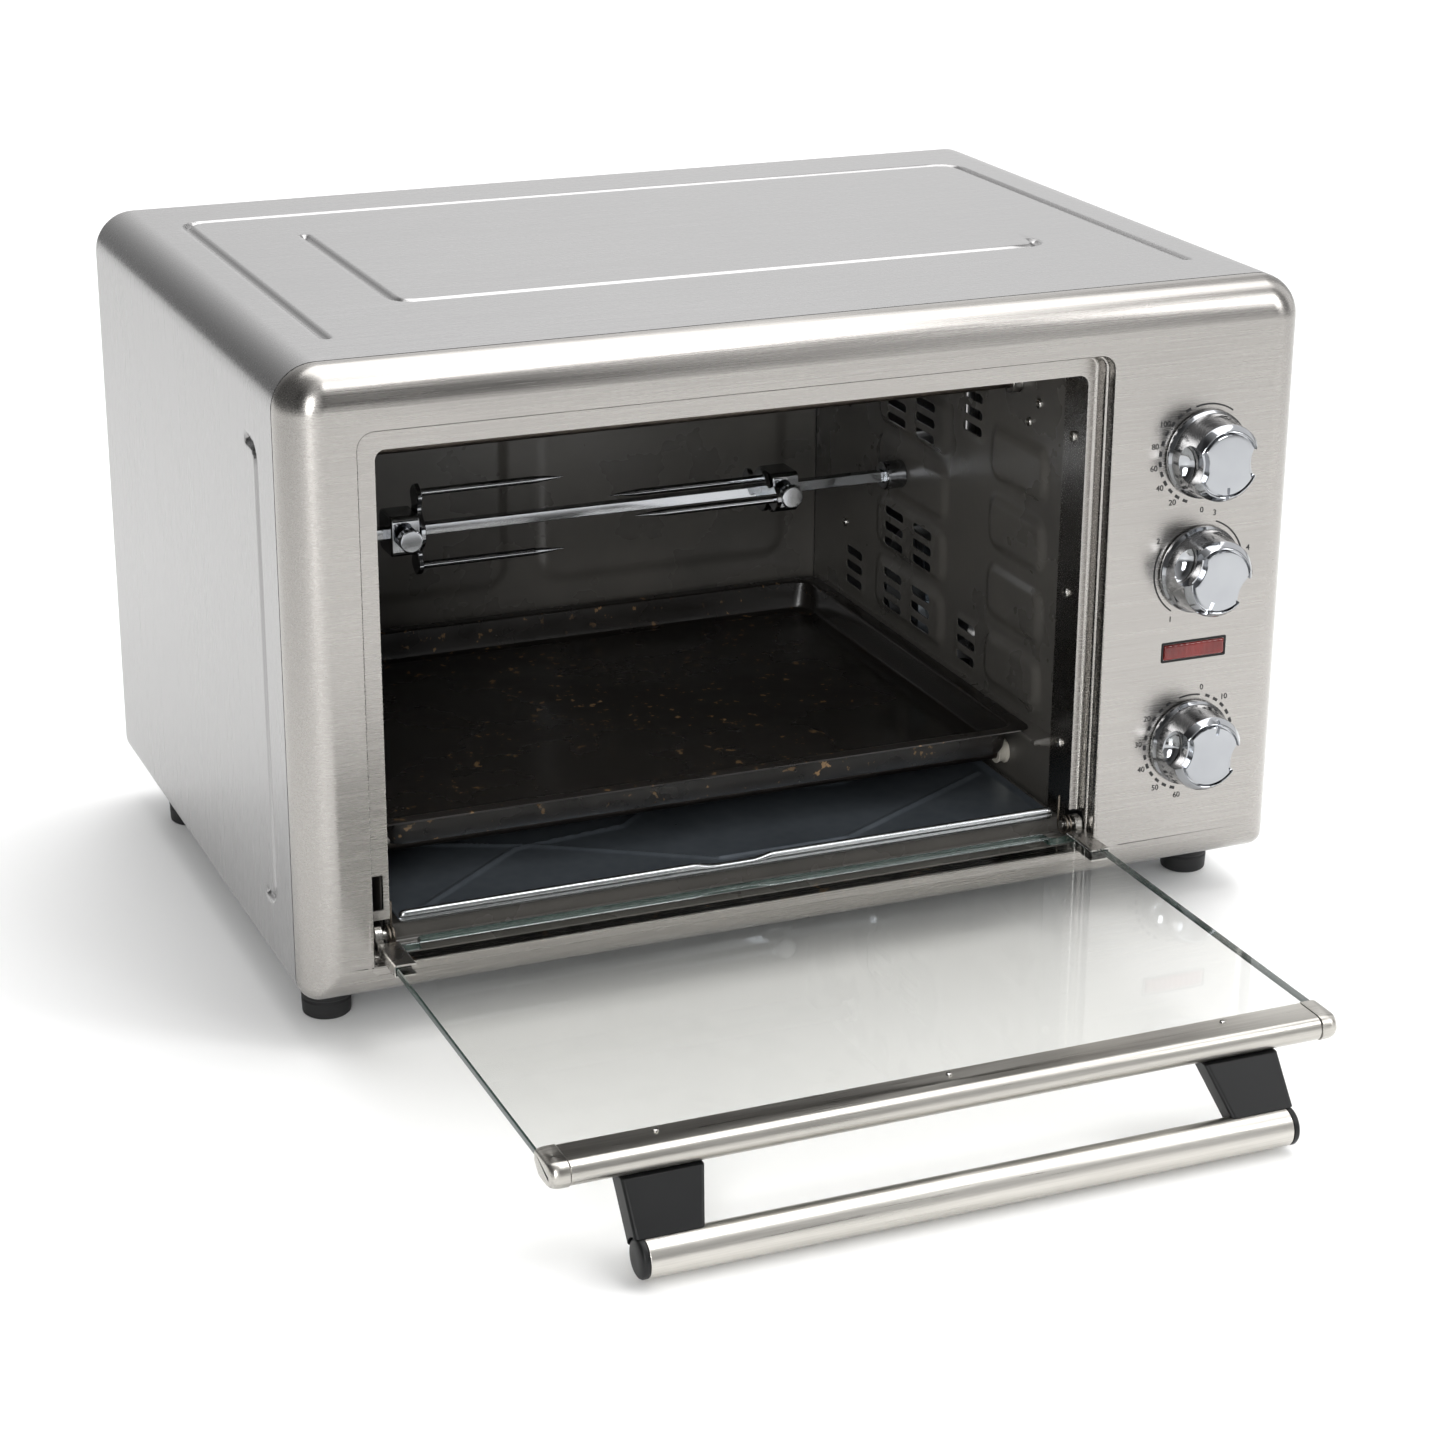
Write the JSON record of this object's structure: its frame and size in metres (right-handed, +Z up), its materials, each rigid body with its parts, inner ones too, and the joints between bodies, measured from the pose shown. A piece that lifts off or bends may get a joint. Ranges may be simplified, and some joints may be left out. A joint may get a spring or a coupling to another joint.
{
  "type": "rotisserie oven",
  "caption": "Stainless countertop oven with a drop-down glass door, motor-driven spit with meat forks, heater rods, drip pan, crumb tray and front control knobs.",
  "frame": {"origin": "centre of the bounding box footprint at table height, door open", "axes": "+Z up, front of the oven faces -Y, +X towards the control panel"},
  "size_m": [0.53, 0.639, 0.335],
  "materials": {
    "aluminised_sheet": "cool grey, lightly worn",
    "black_enamel": "semi-gloss black enamel",
    "brushed_stainless": "fine horizontal brushing, satin",
    "charcoal_plastic": "fine matt texture",
    "cream_phenolic": "moulded, low gloss",
    "foot_rubber": "matt moulded",
    "heater_sheath": "heat-darkened sheath",
    "polished_chrome": "bright polished",
    "red_lens": "translucent red",
    "satin_stainless_trim": "brushed along its length",
    "spring_and_bracket_steel": "bright plated",
    "tempered_glass": "clear with grey-green edges",
    "zinc_plated_sheet": "dull zinc plate"
  },
  "bodies": {
    "oven_body": {"base_pan": "zinc_plated_sheet", "cavity_back_wall": "black_enamel", "cavity_floor": "black_enamel", "cavity_left_wall": "black_enamel", "cavity_right_wall": "black_enamel", "cavity_roof": "black_enamel", "cord_grommet": "charcoal_plastic", "fan_housing": "zinc_plated_sheet", "fan_motor": "zinc_plated_sheet", "foot_front_left": "foot_rubber", "foot_front_right": "foot_rubber", "foot_rear_left": "foot_rubber", "foot_rear_right": "foot_rubber", "front_bezel": "brushed_stainless", "function_switch_body": "cream_phenolic", "hinge_pin_left": "spring_and_bracket_steel", "hinge_pin_right": "spring_and_bracket_steel", "hinge_spring_left": "spring_and_bracket_steel", "hinge_spring_right": "spring_and_bracket_steel", "lower_element_front": "heater_sheath", "lower_element_rear": "heater_sheath", "outer_wrap": "brushed_stainless", "power_lamp_holder": "charcoal_plastic", "power_lamp_lens": "red_lens", "rear_panel": "zinc_plated_sheet", "rotisserie_gearmotor": "zinc_plated_sheet", "spit_support": "spring_and_bracket_steel", "thermostat_body": "cream_phenolic", "timer_body": "zinc_plated_sheet", "upper_element_front": "heater_sheath", "upper_element_rear": "heater_sheath"},
    "door": {"door_glass": "tempered_glass", "door_rail": "satin_stainless_trim", "rail_clip_left": "satin_stainless_trim", "rail_clip_right": "satin_stainless_trim", "handle_post_left": "charcoal_plastic", "handle_post_right": "charcoal_plastic", "handle_bar": "satin_stainless_trim", "handle_cap_left": "charcoal_plastic", "handle_cap_right": "charcoal_plastic", "hinge_bracket_left": "spring_and_bracket_steel", "hinge_bracket_right": "spring_and_bracket_steel"},
    "temperature_control": {"temperature_knob": "polished_chrome"},
    "function_control": {"function_knob": "polished_chrome"},
    "timer_control": {"timer_knob": "polished_chrome"},
    "spit": {"drive_socket": "polished_chrome", "spit_rod": "polished_chrome"},
    "left_fork": {"spit_fork_left": "polished_chrome"},
    "right_fork": {"spit_fork_right": "polished_chrome"},
    "left_thumbscrew": {"fork_thumbscrew_left": "polished_chrome"},
    "right_thumbscrew": {"fork_thumbscrew_right": "polished_chrome"},
    "fan": {"convection_fan": "aluminised_sheet"},
    "pan": {"drip_pan": "black_enamel"},
    "tray": {"crumb_tray": "aluminised_sheet"}
  },
  "joints": [
    {"name": "door_hinge", "type": "hinge", "parent": "oven_body", "child": "door", "pos_m": [-0.038, -0.0485, 0.054], "axis": [-1, 0, 0], "range_deg": [0, 90]},
    {"name": "temperature_turn", "type": "hinge", "parent": "oven_body", "child": "temperature_control", "pos_m": [0.2085, -0.0605, 0.25], "axis": [0, 1, 0], "range_deg": [-180, 135]},
    {"name": "function_turn", "type": "hinge", "parent": "oven_body", "child": "function_control", "pos_m": [0.2085, -0.0605, 0.1895], "axis": [0, 1, 0], "range_deg": [-205, 110]},
    {"name": "timer_turn", "type": "hinge", "parent": "oven_body", "child": "timer_control", "pos_m": [0.2085, -0.0605, 0.0955], "axis": [0, 1, 0], "range_deg": [-72, 258]},
    {"name": "spit_spin", "type": "hinge", "parent": "oven_body", "child": "spit", "pos_m": [0, 0.1575, 0.187], "axis": [1, 0, 0], "continuous": true},
    {"name": "left_fork_slide", "type": "slide", "parent": "spit", "child": "left_fork", "axis": [1, 0, 0], "range_m": [-0.03, 0.03]},
    {"name": "right_fork_slide", "type": "slide", "parent": "spit", "child": "right_fork", "axis": [1, 0, 0], "range_m": [-0.03, 0.03]},
    {"name": "left_thumbscrew_turn", "type": "hinge", "parent": "left_fork", "child": "left_thumbscrew", "pos_m": [-0.146, 0.1395, 0.187], "axis": [0, 1, 0], "range_deg": [-180, 0]},
    {"name": "right_thumbscrew_turn", "type": "hinge", "parent": "right_fork", "child": "right_thumbscrew", "pos_m": [0.071, 0.1395, 0.187], "axis": [0, 1, 0], "range_deg": [-180, 0]},
    {"name": "fan_spin", "type": "hinge", "parent": "oven_body", "child": "fan", "pos_m": [0.16, 0.1465, 0.12], "axis": [1, 0, 0], "continuous": true},
    {"name": "drip_pan_slide", "type": "slide", "parent": "oven_body", "child": "pan", "axis": [0, 1, 0], "range_m": [-0.26, 0]},
    {"name": "crumb_tray_slide", "type": "slide", "parent": "oven_body", "child": "tray", "axis": [0, 1, 0], "range_m": [-0.28, 0]}
  ]
}
